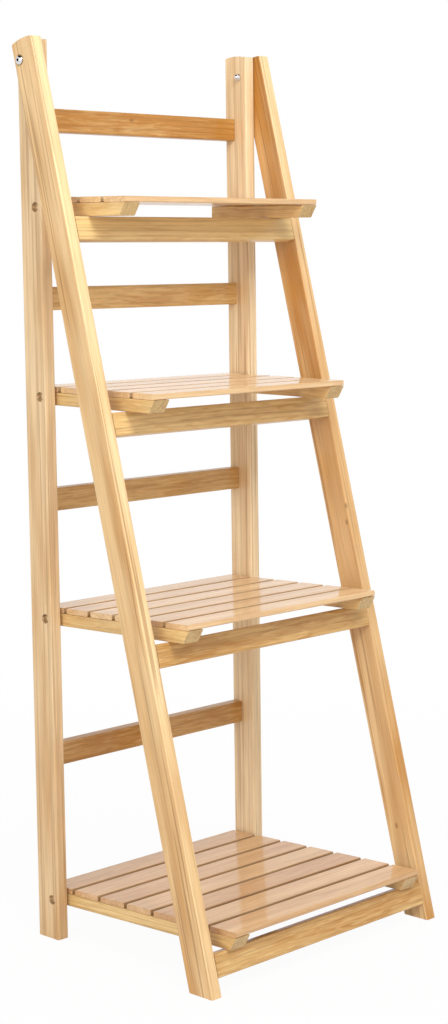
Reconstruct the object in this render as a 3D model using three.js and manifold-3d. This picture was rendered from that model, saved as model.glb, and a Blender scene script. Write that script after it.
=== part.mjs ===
import * as THREE from 'three';
import { mergeVertices } from 'three/addons/utils/BufferGeometryUtils.js';
import Module from 'manifold-3d';

// Folding plant ladder in varnished pine: an upright rear frame, a front ladder that hangs from two
// bolts at its top and leans forward, and four slatted shelves, deeper towards the floor.  Each shelf
// turns on two screws in the rear posts and rests on a rail of the ladder.  To fold the stand the
// shelves are lifted against the back rails and the ladder swings in against the posts.
//
// Millimetres.  x runs across the stand, y to the back, z up from the floor.

const wasm = await Module();
wasm.setup();

// ---------------------------------------------------------------- driving dimensions

// Frame stock
const FRAME_WIDTH = 387.4; // over the outer faces of the two front legs
const POST_HEIGHT = 1060; // rear posts, floor to crown
const STOCK_THICKNESS = 15.7; // posts and legs, across the stand
const POST_DEPTH = 36; // rear posts, front to back
const LEG_DEPTH = 36; // front legs, square to their length
const TOP_CROWN = 2.2; // rise of the rounded top ends
const FRAME_EASE = 2; // radius of the long edges of posts and legs

// Hinge between the rear frame and the ladder
const LADDER_LEAN = 14.2; // degrees from upright when the stand is open
const HINGE_BELOW_TOP = 26; // bolt axis below the crown of the posts
const HINGE_FROM_POST_FRONT = 11.7; // bolt axis behind the front face of the posts
const HINGE_FROM_LEG_REAR = 9.6; // bolt axis ahead of the rear face of the legs
const LEG_TOP_ABOVE_HINGE = 22.1; // bolt axis to the crown of a leg, along the leg
const HINGE_GAP = 0.7; // between post and leg, taken up by a washer
const BOLT_DIAMETER = 5;
const BOLT_HEAD_DIAMETER = 11;
const BOLT_HEAD_RIM = 1.2; // straight rim under the dome
const BOLT_HEAD_DOME = 3.2;
const BOLT_RECESS_DIAMETER = 12.8;
const BOLT_RECESS_DEPTH = 1.4;
const WASHER_DIAMETER = 15;
const NUT_SIDES = 6;
const NUT_ACROSS_FLATS = 8;
const NUT_HEX_HEIGHT = 3.2;
const NUT_DOME_HEIGHT = 3.4;
const NUT_THREAD_DEPTH = 5;

// Rails
const BACK_RAIL_THICKNESS = 16;
const LADDER_RAIL_THICKNESS = 14.6;
const CROSSRAIL_HEIGHT = 27.2; // back rails and ladder rails
const LADDER_RAIL_SETBACK = 0.6; // behind the front faces of the legs
const CROSSRAIL_EASE = 1.5;
const TENON_LENGTH = 10;
const TENON_SHOULDER = 3.5; // step from the rail's faces down to the tenon

// Shelves, numbered from the top one down
const PIVOT_1 = 869.2; // height of the pivot axis
const PIVOT_2 = 650.9;
const PIVOT_3 = 389.5;
const PIVOT_4 = 48;
const DEPTH_1 = 157.5; // rear edge to front edge
const DEPTH_2 = 200;
const DEPTH_3 = 248.5;
const DEPTH_4 = 315.5;
const BACK_RISE_1 = 113.7; // top of the back rail above the pivot axis
const BACK_RISE_2 = 126.5;
const BACK_RISE_3 = 151.5;
const BACK_RISE_4 = 185.6;
// droop: fall towards the front in degrees when the shelf rests on the ladder, negative where the
// front stands higher.
const SHELVES = [
  { pivot: PIVOT_1, depth: DEPTH_1, backRise: BACK_RISE_1, slats: 4, droop: 1.03 },
  { pivot: PIVOT_2, depth: DEPTH_2, backRise: BACK_RISE_2, slats: 5, droop: 1.03 },
  { pivot: PIVOT_3, depth: DEPTH_3, backRise: BACK_RISE_3, slats: 6, droop: -1.06 },
  { pivot: PIVOT_4, depth: DEPTH_4, backRise: BACK_RISE_4, slats: 7, droop: -1.84 },
];
const SHELF_SIDE_GAP = 3.2; // between a shelf's side rail and the post
const SLAT_END_INSET = 0.5; // slat ends, inside the side rails' outer faces
const SLAT_THICKNESS = 6.6;
const SLAT_GAP = 5;
const SLAT_EASE = 1.7;
const SHELF_RAIL_WIDTH = 23.5;
const SHELF_RAIL_HEIGHT = 15;
const SHELF_RAIL_EASE = 1.5;
const SHELF_RAIL_SLANT = 31; // degrees, the undercut of the front ends
const PIVOT_FROM_POST_FRONT = 10.3;
const PIVOT_BELOW_RAIL_TOP = 4.3;

// Pivot screws
const SCREW_DIAMETER = 5;
const SCREW_TIP = 4; // length of the pointed end
const SCREW_HEAD_DIAMETER = 8.4;
const SCREW_HEAD_RIM = 0.8;
const SCREW_HEAD_DOME = 2.2;
const SCREW_GRIP = 19; // how far the screw reaches into the shelf's side rail
const SCREW_RECESS_DIAMETER = 11.4; // sunk hole in the post that hides the head
const SCREW_RECESS_DEPTH = 4.5;
const DRIVE_LENGTH = 5; // cross slot in the head
const DRIVE_WIDTH = 1;
const DRIVE_DEPTH = 1.4;
const DRIVE_TURN = 25; // degrees from one screw's cross slot to the next

// Clearances and fineness
const FIT = 0.3; // around glued joints and between stacked pieces
const RUNNING = 0.3; // around bolts and screws that turn
const WASHER_PLAY = 0.2;
const OVERCUT = 2; // how far a cutter stands out of what it cuts
const EDGE_STEPS = 2;
const CROWN_STEPS = 5;
const ROUND_STEPS = 24;
const DOME_STEPS = 4;

// ---------------------------------------------------------------- derived places

const RIGHT_ANGLE = Math.PI / 2;
const LEFT = -1;
const RIGHT = 1;
const SIDES = [[LEFT, 'left'], [RIGHT, 'right']];

const LEG_OUTER = FRAME_WIDTH / 2;
const LEG_INNER = LEG_OUTER - STOCK_THICKNESS;
const POST_OUTER = LEG_INNER - HINGE_GAP;
const POST_INNER = POST_OUTER - STOCK_THICKNESS;
const SHELF_HALF = POST_INNER - SHELF_SIDE_GAP;

const HINGE_Y = HINGE_FROM_POST_FRONT - POST_DEPTH;
const HINGE_Z = POST_HEIGHT - HINGE_BELOW_TOP;
const LEAN = THREE.MathUtils.degToRad(LADDER_LEAN);
const LEG_REAR = HINGE_FROM_LEG_REAR;
const LEG_FRONT = HINGE_FROM_LEG_REAR - LEG_DEPTH;

const PIVOT_Y = PIVOT_FROM_POST_FRONT - POST_DEPTH;
const SHELF_REAR = -PIVOT_Y; // rear edge of every shelf, flush with the posts' rear faces
const RAIL_TOP = PIVOT_BELOW_RAIL_TOP;
const RAIL_BOTTOM = RAIL_TOP - SHELF_RAIL_HEIGHT;
const SLAT_BOTTOM = RAIL_TOP + FIT;

// ---------------------------------------------------------------- solids

/** A closed three.js geometry as a solid that can be cut and joined. */
function toSolid(geometry) {
  geometry.deleteAttribute('normal');
  geometry.deleteAttribute('uv');
  const merged = mergeVertices(geometry);
  return new wasm.Manifold(new wasm.Mesh({
    numProp: 3,
    vertProperties: merged.attributes.position.array,
    triVerts: new Uint32Array(merged.index.array),
  }));
}

/** The triangles of a solid as a three.js geometry. */
function toGeometry(solid) {
  const { vertProperties, triVerts } = solid.getMesh();
  const geometry = new THREE.BufferGeometry();
  geometry.setAttribute('position', new THREE.BufferAttribute(vertProperties, 3));
  geometry.setIndex(new THREE.BufferAttribute(triVerts, 1));
  geometry.computeVertexNormals();
  return geometry;
}

// How a drawn outline is turned before it is pushed out: its two drawing axes, then its length.
const X_AXIS = new THREE.Vector3(1, 0, 0);
const Y_AXIS = new THREE.Vector3(0, 1, 0);
const Z_AXIS = new THREE.Vector3(0, 0, 1);
const FORWARD = new THREE.Vector3(0, -1, 0);
const ACROSS = new THREE.Matrix4().makeBasis(Y_AXIS, Z_AXIS, X_AXIS); // drawn in y-z, length along x
const UPRIGHT = new THREE.Matrix4().makeBasis(X_AXIS, Y_AXIS, Z_AXIS); // drawn in x-y, length along z
const OUTWARD = new THREE.Matrix4().makeBasis(X_AXIS, Z_AXIS, FORWARD); // drawn in x-z, length forward

/** An outline pushed out between two places along its length. */
function extrude(shape, from, to, turn, steps = EDGE_STEPS) {
  const geometry = new THREE.ExtrudeGeometry(shape, {
    depth: to - from,
    bevelEnabled: false,
    curveSegments: steps,
  });
  geometry.translate(0, 0, from);
  return toSolid(geometry.applyMatrix4(turn));
}

/** A rectangle between two corners whose own corners are eased to a radius. */
function easedRectangle(u0, u1, v0, v1, radius) {
  const shape = new THREE.Shape();
  shape.absarc(u1 - radius, v0 + radius, radius, -RIGHT_ANGLE, 0);
  shape.absarc(u1 - radius, v1 - radius, radius, 0, RIGHT_ANGLE);
  shape.absarc(u0 + radius, v1 - radius, radius, RIGHT_ANGLE, 2 * RIGHT_ANGLE);
  shape.absarc(u0 + radius, v0 + radius, radius, 2 * RIGHT_ANGLE, 3 * RIGHT_ANGLE);
  return shape;
}

/** A closed outline through a few points. */
function outline(points) {
  return new THREE.Shape(points.map(([u, v]) => new THREE.Vector2(u, v)));
}

/** Side view of an upright: two floor points, and a top rounded to a flat arc of the crown's rise. */
function crownedOutline(front, rear, frontFoot, rearFoot, top) {
  const half = (rear - front) / 2;
  const radius = (half * half + TOP_CROWN * TOP_CROWN) / (2 * TOP_CROWN);
  const spread = Math.asin(half / radius);
  const shape = new THREE.Shape();
  shape.moveTo(front, frontFoot);
  shape.lineTo(rear, rearFoot);
  shape.absarc((front + rear) / 2, top - radius, radius, RIGHT_ANGLE - spread, RIGHT_ANGLE + spread);
  return shape;
}

/** The stretch between two distances from the middle plane, on one side of the stand. */
function span(side, a, b) {
  return [side * a, side * b].sort((p, q) => p - q);
}

/** A round cutter along x. */
function drill([x0, x1], y, z, diameter) {
  const radius = diameter / 2;
  const geometry = new THREE.CylinderGeometry(radius, radius, x1 - x0, ROUND_STEPS);
  geometry.rotateZ(RIGHT_ANGLE);
  geometry.translate((x0 + x1) / 2, y, z);
  return toSolid(geometry);
}

/** A turned piece on the x axis: its profile holds [radius, distance from the middle plane]. */
function turned(profile, side, y, z) {
  const points = profile.map(([radius, along]) => new THREE.Vector2(radius, along));
  const geometry = new THREE.LatheGeometry(points, ROUND_STEPS);
  geometry.rotateZ(-side * RIGHT_ANGLE);
  geometry.translate(0, y, z);
  return toSolid(geometry);
}

/** Profile points of a dome, from its rim up to the axis. */
function dome(radius, base, rise) {
  return Array.from({ length: DOME_STEPS + 1 }, (_, i) => {
    const angle = (i / DOME_STEPS) * RIGHT_ANGLE;
    return [i === DOME_STEPS ? 0 : radius * Math.cos(angle), base + rise * Math.sin(angle)];
  });
}

// ---------------------------------------------------------------- materials

const pine = (color) => new THREE.MeshStandardMaterial({ color, roughness: 0.32, metalness: 0 });
const POST_PINE = pine('#d9b584');
const LEG_PINE = pine('#e2be8c');
const RAIL_PINE = pine('#d3a366');
const SLAT_PINE = pine('#e6c9a4');
const CHROME = new THREE.MeshStandardMaterial({ color: '#dcdcdf', roughness: 0.08, metalness: 1 });
const STEEL = new THREE.MeshStandardMaterial({ color: '#a58a6b', roughness: 0.35, metalness: 0.9 });

/** A named piece of the stand. */
function piece(name, solid, material) {
  const mesh = new THREE.Mesh(toGeometry(solid), material);
  mesh.name = name;
  return mesh;
}

// ---------------------------------------------------------------- crossrails and their joints

/** A rail with eased edges between two shoulders, and a stub tenon at each end. */
function crossrail(inner, y0, y1, top) {
  const bottom = top - CROSSRAIL_HEIGHT;
  const shoulder = inner - FIT;
  const reach = inner + TENON_LENGTH - FIT;
  const body = extrude(easedRectangle(y0, y1, bottom, top, CROSSRAIL_EASE), -shoulder, shoulder, ACROSS);
  const tenon = outline([
    [y0 + TENON_SHOULDER, bottom + TENON_SHOULDER],
    [y1 - TENON_SHOULDER, bottom + TENON_SHOULDER],
    [y1 - TENON_SHOULDER, top - TENON_SHOULDER],
    [y0 + TENON_SHOULDER, top - TENON_SHOULDER],
  ]);
  return body.add(extrude(tenon, -reach, reach, ACROSS));
}

/** The cutter for the mortise that takes one tenon, with its clearance. */
function mortise(side, inner, y0, y1, top) {
  const wall = TENON_SHOULDER - FIT;
  const bottom = top - CROSSRAIL_HEIGHT;
  const hole = outline([
    [y0 + wall, bottom + wall],
    [y1 - wall, bottom + wall],
    [y1 - wall, top - wall],
    [y0 + wall, top - wall],
  ]);
  const [x0, x1] = span(side, inner - OVERCUT, inner + TENON_LENGTH);
  return extrude(hole, x0, x1, ACROSS);
}

// ---------------------------------------------------------------- rear frame

const backRailTop = (shelf) => shelf.pivot + shelf.backRise;

/** An upright of the rear frame, with its bolt hole, four sunk screw holes and four mortises. */
function rearPost(side) {
  const [x0, x1] = span(side, POST_INNER, POST_OUTER);
  const through = span(side, POST_INNER - OVERCUT, POST_OUTER + OVERCUT);
  const sunk = span(side, POST_OUTER - SCREW_RECESS_DEPTH, POST_OUTER + OVERCUT);
  const bar = extrude(easedRectangle(x0, x1, -POST_DEPTH, 0, FRAME_EASE), 0, POST_HEIGHT, UPRIGHT);
  const sideView = crownedOutline(-POST_DEPTH, 0, 0, 0, POST_HEIGHT);
  let post = bar.intersect(extrude(sideView, x0, x1, ACROSS, CROWN_STEPS));
  post = post.subtract(drill(through, HINGE_Y, HINGE_Z, BOLT_DIAMETER + 2 * RUNNING));
  for (const shelf of SHELVES) {
    post = post.subtract(drill(through, PIVOT_Y, shelf.pivot, SCREW_DIAMETER + 2 * RUNNING));
    post = post.subtract(drill(sunk, PIVOT_Y, shelf.pivot, SCREW_RECESS_DIAMETER));
    post = post.subtract(mortise(side, POST_INNER, -BACK_RAIL_THICKNESS, 0, backRailTop(shelf)));
  }
  return post;
}

/** A domed bolt through leg, washer and post, its head in a shallow recess of the leg. */
function hingeBolt(side) {
  const shank = BOLT_DIAMETER / 2;
  const head = BOLT_HEAD_DIAMETER / 2;
  const seat = LEG_OUTER - BOLT_RECESS_DEPTH + WASHER_PLAY;
  const end = POST_INNER - NUT_THREAD_DEPTH + FIT;
  const profile = [[0, end], [shank, end], [shank, seat], [head, seat]];
  return turned([...profile, ...dome(head, seat + BOLT_HEAD_RIM, BOLT_HEAD_DOME)], side, HINGE_Y, HINGE_Z);
}

/** A domed nut on the inner face of the post, hexagonal at its foot. */
function hingeNut(side) {
  const corner = NUT_ACROSS_FLATS / 2 / Math.cos(Math.PI / NUT_SIDES);
  const crown = POST_INNER - NUT_HEX_HEIGHT;
  const hex = new THREE.CylinderGeometry(corner, corner, NUT_HEX_HEIGHT, NUT_SIDES);
  hex.rotateZ(RIGHT_ANGLE);
  hex.translate(side * (POST_INNER - NUT_HEX_HEIGHT / 2), HINGE_Y, HINGE_Z);
  const radius = NUT_ACROSS_FLATS / 2;
  const cap = [...dome(radius, crown, -NUT_DOME_HEIGHT).reverse(), [radius, crown + FIT], [0, crown + FIT]];
  const bore = span(side, POST_INNER - NUT_THREAD_DEPTH, POST_INNER + OVERCUT);
  return toSolid(hex)
    .add(turned(cap, side, HINGE_Y, HINGE_Z))
    .subtract(drill(bore, HINGE_Y, HINGE_Z, BOLT_DIAMETER + 2 * RUNNING));
}

/** The washer that keeps the leg off the post. */
function hingeWasher(side) {
  const [x0, x1] = span(side, POST_OUTER, LEG_INNER - WASHER_PLAY);
  const hole = span(side, POST_OUTER - OVERCUT, LEG_INNER + OVERCUT);
  return drill([x0, x1], HINGE_Y, HINGE_Z, WASHER_DIAMETER)
    .subtract(drill(hole, HINGE_Y, HINGE_Z, BOLT_DIAMETER + 2 * RUNNING));
}

/** A pan-head screw from the sunk hole in the post into a shelf's side rail, its cross slot turned. */
function pivotScrew(side, height, slotAngle) {
  const shank = SCREW_DIAMETER / 2;
  const head = SCREW_HEAD_DIAMETER / 2;
  const seat = POST_OUTER - SCREW_RECESS_DEPTH;
  const end = SHELF_HALF - SCREW_GRIP;
  const profile = [[0, end], [shank, end + SCREW_TIP], [shank, seat], [head, seat]];
  const top = seat + SCREW_HEAD_RIM + SCREW_HEAD_DOME;
  const cap = dome(head, seat + SCREW_HEAD_RIM, SCREW_HEAD_DOME);
  let screw = turned([...profile, ...cap], side, PIVOT_Y, height);
  for (const angle of [slotAngle, slotAngle + RIGHT_ANGLE]) {
    const slot = new THREE.BoxGeometry(2 * DRIVE_DEPTH, DRIVE_LENGTH, DRIVE_WIDTH);
    slot.rotateX(angle);
    slot.translate(side * top, PIVOT_Y, height);
    screw = screw.subtract(toSolid(slot));
  }
  return screw;
}

function rearFrame() {
  const group = new THREE.Group();
  const slotTurn = THREE.MathUtils.degToRad(DRIVE_TURN);
  SIDES.forEach(([side, word], s) => {
    group.add(piece(`rear_post_${word}`, rearPost(side), POST_PINE));
    group.add(piece(`hinge_bolt_${word}`, hingeBolt(side), CHROME));
    group.add(piece(`hinge_nut_${word}`, hingeNut(side), CHROME));
    group.add(piece(`hinge_washer_${word}`, hingeWasher(side), CHROME));
    SHELVES.forEach((shelf, i) => {
      const screw = pivotScrew(side, shelf.pivot, (s * SHELVES.length + i) * slotTurn);
      group.add(piece(`pivot_screw_${i + 1}_${word}`, screw, STEEL));
    });
  });
  SHELVES.forEach((shelf, i) => {
    const rail = crossrail(POST_INNER, -BACK_RAIL_THICKNESS, 0, backRailTop(shelf));
    group.add(piece(`back_rail_${i + 1}`, rail, RAIL_PINE));
  });
  return group;
}

// ---------------------------------------------------------------- ladder

// The ladder is drawn upright with the bolt axis at its origin, and then leaned forward.
const LADDER_RAIL_FRONT = LEG_FRONT + LADDER_RAIL_SETBACK;
const LADDER_RAIL_REAR = LADDER_RAIL_FRONT + LADDER_RAIL_THICKNESS;

/** Where the floor cuts the ladder, along the leg from the bolt axis. */
const floorAt = (y) => (y * Math.sin(LEAN) - HINGE_Z) / Math.cos(LEAN);

/**
 * Top of the ladder rail that carries a shelf, along the leg from the bolt axis.  The centre of the
 * rail's eased front edge lies as far below the shelf's underside as that edge's radius.
 */
function ladderRailTop(shelf) {
  const droop = THREE.MathUtils.degToRad(shelf.droop);
  const centreY = LADDER_RAIL_FRONT + CROSSRAIL_EASE;
  const below = RAIL_BOTTOM - CROSSRAIL_EASE - FIT;
  const startY = HINGE_Y + centreY * Math.cos(LEAN) - PIVOT_Y;
  const startZ = HINGE_Z - centreY * Math.sin(LEAN) - shelf.pivot;
  const offset = startZ * Math.cos(droop) - startY * Math.sin(droop);
  return (below - offset) / Math.cos(LEAN + droop) + CROSSRAIL_EASE;
}

/** A leg of the ladder, cut level at the floor, with a recess for the bolt's head and mortises. */
function frontLeg(side) {
  const [x0, x1] = span(side, LEG_INNER, LEG_OUTER);
  const low = Math.min(floorAt(LEG_FRONT), floorAt(LEG_REAR));
  const section = easedRectangle(x0, x1, LEG_FRONT, LEG_REAR, FRAME_EASE);
  const bar = extrude(section, low, LEG_TOP_ABOVE_HINGE, UPRIGHT);
  const sideView = crownedOutline(
    LEG_FRONT, LEG_REAR, floorAt(LEG_FRONT), floorAt(LEG_REAR), LEG_TOP_ABOVE_HINGE);
  const through = span(side, LEG_INNER - OVERCUT, LEG_OUTER + OVERCUT);
  const sunk = span(side, LEG_OUTER - BOLT_RECESS_DEPTH, LEG_OUTER + OVERCUT);
  let leg = bar.intersect(extrude(sideView, x0, x1, ACROSS, CROWN_STEPS));
  leg = leg.subtract(drill(through, 0, 0, BOLT_DIAMETER + 2 * RUNNING));
  leg = leg.subtract(drill(sunk, 0, 0, BOLT_RECESS_DIAMETER));
  for (const shelf of SHELVES) {
    const top = ladderRailTop(shelf);
    leg = leg.subtract(mortise(side, LEG_INNER, LADDER_RAIL_FRONT, LADDER_RAIL_REAR, top));
  }
  return leg;
}

function ladder() {
  const group = new THREE.Group();
  group.position.set(0, HINGE_Y, HINGE_Z);
  group.rotation.x = -LEAN;
  for (const [side, word] of SIDES) group.add(piece(`front_leg_${word}`, frontLeg(side), LEG_PINE));
  SHELVES.forEach((shelf, i) => {
    const rail = crossrail(LEG_INNER, LADDER_RAIL_FRONT, LADDER_RAIL_REAR, ladderRailTop(shelf));
    group.add(piece(`ladder_rail_${i + 1}`, rail, RAIL_PINE));
  });
  return group;
}

// ---------------------------------------------------------------- shelves

// A shelf is drawn level with its pivot axis at the origin, and then turned until it rests.

/** A side rail, its front end undercut, with a blind hole for the pivot screw. */
function shelfRail(side, front) {
  const [x0, x1] = span(side, SHELF_HALF - SHELF_RAIL_WIDTH, SHELF_HALF);
  const undercut = SHELF_RAIL_HEIGHT * Math.tan(THREE.MathUtils.degToRad(SHELF_RAIL_SLANT));
  const section = easedRectangle(x0, x1, RAIL_BOTTOM, RAIL_TOP, SHELF_RAIL_EASE);
  const sideView = outline([
    [front, RAIL_TOP],
    [front + undercut, RAIL_BOTTOM],
    [SHELF_REAR, RAIL_BOTTOM],
    [SHELF_REAR, RAIL_TOP],
  ]);
  const hole = span(side, SHELF_HALF - SCREW_GRIP - RUNNING, SHELF_HALF + OVERCUT);
  return extrude(section, -SHELF_REAR, -front, OUTWARD)
    .intersect(extrude(sideView, x0, x1, ACROSS))
    .subtract(drill(hole, 0, 0, SCREW_DIAMETER + 2 * RUNNING));
}

/** One slat from side to side, its long edges eased. */
function slat(rear, width) {
  const half = SHELF_HALF - SLAT_END_INSET;
  const section = easedRectangle(rear - width, rear, SLAT_BOTTOM, SLAT_BOTTOM + SLAT_THICKNESS, SLAT_EASE);
  return extrude(section, -half, half, ACROSS);
}

function shelfGroup(shelf, number) {
  const group = new THREE.Group();
  group.position.set(0, PIVOT_Y, shelf.pivot);
  group.rotation.x = THREE.MathUtils.degToRad(shelf.droop);
  const front = SHELF_REAR - shelf.depth;
  for (const [side, word] of SIDES) {
    group.add(piece(`shelf_${number}_rail_${word}`, shelfRail(side, front), RAIL_PINE));
  }
  const width = (shelf.depth - (shelf.slats - 1) * SLAT_GAP) / shelf.slats;
  for (let i = 0; i < shelf.slats; i += 1) {
    const rear = SHELF_REAR - i * (width + SLAT_GAP);
    group.add(piece(`shelf_${number}_slat_${i + 1}`, slat(rear, width), SLAT_PINE));
  }
  return group;
}

// ---------------------------------------------------------------- the stand

// The parts are drawn with the posts' rear faces at y = 0, and moved back by half the stand's depth,
// so that the origin lies on the floor in the middle of the open stand.
const stand = new THREE.Group();
const open = new THREE.Group();
open.add(rearFrame(), ladder());
SHELVES.forEach((shelf, i) => open.add(shelfGroup(shelf, i + 1)));
open.position.y = -new THREE.Box3().setFromObject(open, true).getCenter(new THREE.Vector3()).y;
stand.add(open);

export default stand;
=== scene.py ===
"""A folding plant ladder in clear-varnished pine: four slatted shelves between an upright rear
frame and a leaning ladder.  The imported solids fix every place; this script gives the boards,
fasteners and finishes that show."""

from __future__ import annotations

import logging
import math
import random
from collections.abc import Callable, Sequence
from dataclasses import dataclass, field
from enum import Enum

import bmesh
import bpy
import numpy as np
from bpy.types import (
    bpy_prop_collection,
    GeometryNodeTree,
    Material,
    Mesh,
    Node,
    NodeSocket,
    NodeTree,
    Object,
)
from mathutils import Matrix, Vector

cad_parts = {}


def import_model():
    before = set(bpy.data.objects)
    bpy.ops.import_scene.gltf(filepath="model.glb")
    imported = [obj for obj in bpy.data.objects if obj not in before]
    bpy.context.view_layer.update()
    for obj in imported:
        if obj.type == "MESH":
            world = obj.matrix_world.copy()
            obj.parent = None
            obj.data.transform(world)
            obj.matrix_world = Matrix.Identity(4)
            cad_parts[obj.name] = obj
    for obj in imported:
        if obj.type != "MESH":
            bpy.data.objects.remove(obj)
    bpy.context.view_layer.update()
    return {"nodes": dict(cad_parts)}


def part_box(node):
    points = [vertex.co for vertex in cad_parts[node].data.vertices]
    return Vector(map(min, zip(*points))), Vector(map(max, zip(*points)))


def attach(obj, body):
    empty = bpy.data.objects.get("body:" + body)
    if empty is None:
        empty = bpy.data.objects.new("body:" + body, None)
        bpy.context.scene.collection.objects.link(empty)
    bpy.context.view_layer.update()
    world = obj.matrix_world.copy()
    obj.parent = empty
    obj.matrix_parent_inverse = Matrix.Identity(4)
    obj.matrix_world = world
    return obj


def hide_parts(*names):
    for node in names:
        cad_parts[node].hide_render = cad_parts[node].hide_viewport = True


LOG = logging.getLogger("plant_ladder")
MM = 0.001

# The commonest kinds of node
MATH = "ShaderNodeMath"
VECTORS = "ShaderNodeVectorMath"
RANGE = "ShaderNodeMapRange"
MIX = "ShaderNodeMix"
MARK = "ShaderNodeAttribute"
STORE = "GeometryNodeStoreNamedAttribute"


# -------------------- small helpers


def linear(hex_colour: str) -> tuple[float, float, float, float]:
    """Turns an sRGB colour into the linear values that a shader socket takes.

    Args:
        hex_colour: The colour as "#rrggbb".

    Returns:
        Red, green, blue and an alpha of 1.
    """
    parts = [int(hex_colour[i : i + 2], 16) / 255 for i in (1, 3, 5)]
    turned = [p / 12.92 if p <= 0.04045 else ((p + 0.055) / 1.055) ** 2.4 for p in parts]
    return (turned[0], turned[1], turned[2], 1.0)


def add(
    tree: NodeTree,
    kind: str,
    sockets: dict[int | str, object] | Sequence[object] = (),
    **settings: object,
) -> Node:
    """Adds a node, sets its properties and fills or links its inputs.

    Args:
        tree: The node tree that gets the node.
        kind: The node's type name.
        sockets: Values in the order of the inputs, or under their names or numbers.  A socket
            feeds an input, and so does a node, with its first output.
        **settings: The node's own properties.

    Returns:
        The new node.
    """
    node = tree.nodes.new(kind)
    for name, value in settings.items():
        setattr(node, name, value)
    for key, value in sockets.items() if isinstance(sockets, dict) else enumerate(sockets):
        value = value.outputs[0] if isinstance(value, Node) else value
        if isinstance(value, NodeSocket):
            tree.links.new(value, node.inputs[key])
        else:
            node.inputs[key].default_value = value
    return node


def fill_ramp(node: Node, stops: list[tuple[float, object]]) -> None:
    """Gives a Color Ramp its stops.

    Args:
        node: The Color Ramp.
        stops: Place from 0 to 1, with a grey value or a linear colour.
    """
    ramp = node.color_ramp
    while len(ramp.elements) > 1:
        ramp.elements.remove(ramp.elements[-1])
    for i, (place, value) in enumerate(stops):
        element = ramp.elements[0] if i == 0 else ramp.elements.new(place)
        element.position = place
        grey = isinstance(value, (int, float))
        element.color = (value, value, value, 1.0) if grey else value


# -------------------- finishes


# The pine's noise: millimetres of one wave along and across the grain, then its own settings
PINE_WAVES: dict[str, tuple[float, float, dict[str, float]]] = {
    "wander": (320, 38, {"Detail": 2.0}),  # growth rings stray over a hand's length of board
    "reed": (300, 3.4, {"Detail": 1.0}),  # thin streaks of pitch
    "fibre": (55, 1.4, {"Detail": 3.0, "Roughness": 0.6}),  # coarser than life, so that it shows
    "curl": (42, 4, {"Detail": 3.0, "Distortion": 1.2}),  # flecks of flat-sawn faces, partly a painted shimmer of the varnish
    "cloud": (140, 22, {"Detail": 1.0}),  # one board's slow drift of colour
}
STRAY = 9.0  # millimetres that a ring strays from its circle
RING_PROFILE = [(0.0, 0.0), (0.45, 0.08), (0.72, 0.6), (0.82, 1.0), (0.94, 0.8), (1.0, 0.0)]
YEAR_CONTRAST = 1.7  # over 1, fewer of the rings are strong
FAINTEST_RING = 0.2  # as a share of the strongest
PITCH_RANGE = (0.58, 0.66)  # noise at which a streak starts and is full
CLOUD_RANGE = (0.3, 0.7)
CURL_RANGE = (0.35, 0.65)
FIBRE_RANGE = (0.3, 0.7)
FIBRE_LEVEL = (0.86, 1.08)  # how light the dark and the light fibres are
FIBRE_GLOSS = 0.04  # how far fibre changes the roughness
FIBRE_HEIGHT = 0.2 * MM
KNOT_COLOUR = "#855a26"
KNOT_SQUEEZE = (0.6, 1.0, 1.0)  # a knot is longer along the grain
KNOT_HEART, KNOT_RIM = 0.7, 3.0  # millimetres from its middle
KNOT_DEPTH = 0.65


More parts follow.
